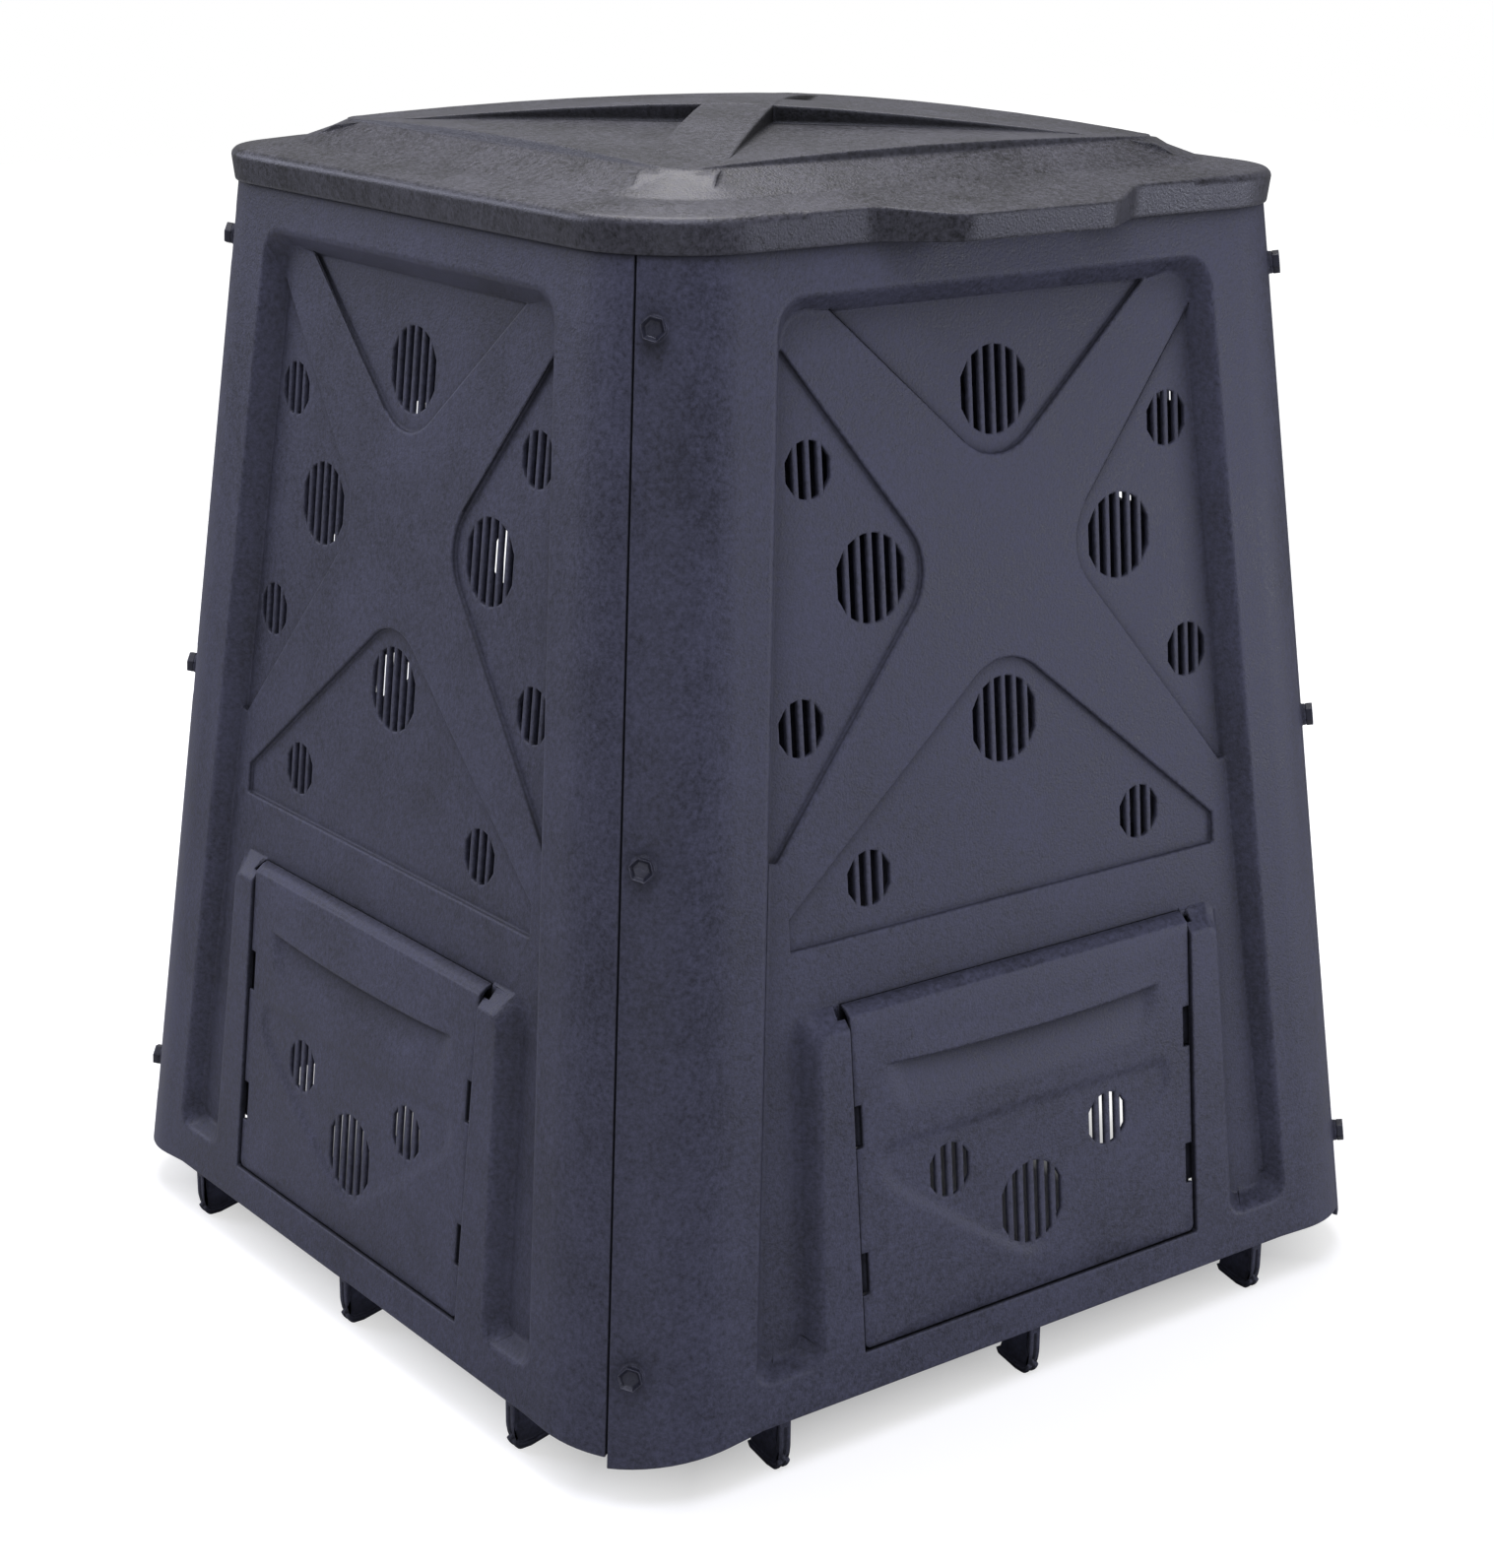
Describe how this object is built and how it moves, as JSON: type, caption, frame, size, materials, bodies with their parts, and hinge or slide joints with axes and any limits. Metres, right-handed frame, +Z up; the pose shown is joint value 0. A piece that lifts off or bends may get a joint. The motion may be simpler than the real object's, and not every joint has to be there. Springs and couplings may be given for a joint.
{
  "type": "compost bin",
  "caption": "Square tapering compost bin of bolted moulded panels with round slotted vents, sliding hatches low on every side and a lift-off lid.",
  "frame": {"origin": "centre of the footprint on the ground, under the feet", "axes": "+Z up; -Y is the front face, -X the left face"},
  "size_m": [0.6806, 0.6806, 0.812],
  "materials": {
    "panel_plastic": "fine-textured recycled black plastic",
    "door_plastic": "fine-textured recycled black plastic",
    "lid_plastic": "slightly smoother black plastic with a low sheen",
    "fastener_plastic": "smooth black nylon"
  },
  "bodies": {
    "bin": {"front_panel": "panel_plastic", "back_panel": "panel_plastic", "left_panel": "panel_plastic", "right_panel": "panel_plastic", "bolt_front_left_low": "fastener_plastic", "bolt_front_left_mid": "fastener_plastic", "bolt_front_left_high": "fastener_plastic", "bolt_front_right_low": "fastener_plastic", "bolt_front_right_mid": "fastener_plastic", "bolt_front_right_high": "fastener_plastic", "bolt_back_left_low": "fastener_plastic", "bolt_back_left_mid": "fastener_plastic", "bolt_back_left_high": "fastener_plastic", "bolt_back_right_low": "fastener_plastic", "bolt_back_right_mid": "fastener_plastic", "bolt_back_right_high": "fastener_plastic", "nut_front_left_low": "fastener_plastic", "nut_front_left_mid": "fastener_plastic", "nut_front_left_high": "fastener_plastic", "nut_front_right_low": "fastener_plastic", "nut_front_right_mid": "fastener_plastic", "nut_front_right_high": "fastener_plastic", "nut_back_left_low": "fastener_plastic", "nut_back_left_mid": "fastener_plastic", "nut_back_left_high": "fastener_plastic", "nut_back_right_low": "fastener_plastic", "nut_back_right_mid": "fastener_plastic", "nut_back_right_high": "fastener_plastic"},
    "lid_body": {"lid": "lid_plastic"},
    "front_door_body": {"front_door": "door_plastic"},
    "back_door_body": {"back_door": "door_plastic"},
    "left_door_body": {"left_door": "door_plastic"},
    "right_door_body": {"right_door": "door_plastic"}
  },
  "joints": [
    {"name": "lid_lift", "type": "slide", "parent": "bin", "child": "lid_body", "axis": [0, 0, 1], "range_m": [0, 0.1]},
    {"name": "front_door_slide", "type": "slide", "parent": "bin", "child": "front_door_body", "axis": [0, 0.1016, 0.9948], "range_m": [0, 0.15]},
    {"name": "back_door_slide", "type": "slide", "parent": "bin", "child": "back_door_body", "axis": [0, -0.1016, 0.9948], "range_m": [0, 0.15]},
    {"name": "left_door_slide", "type": "slide", "parent": "bin", "child": "left_door_body", "axis": [0.1016, 0, 0.9948], "range_m": [0, 0.15]},
    {"name": "right_door_slide", "type": "slide", "parent": "bin", "child": "right_door_body", "axis": [-0.1016, 0, 0.9948], "range_m": [0, 0.15]}
  ]
}
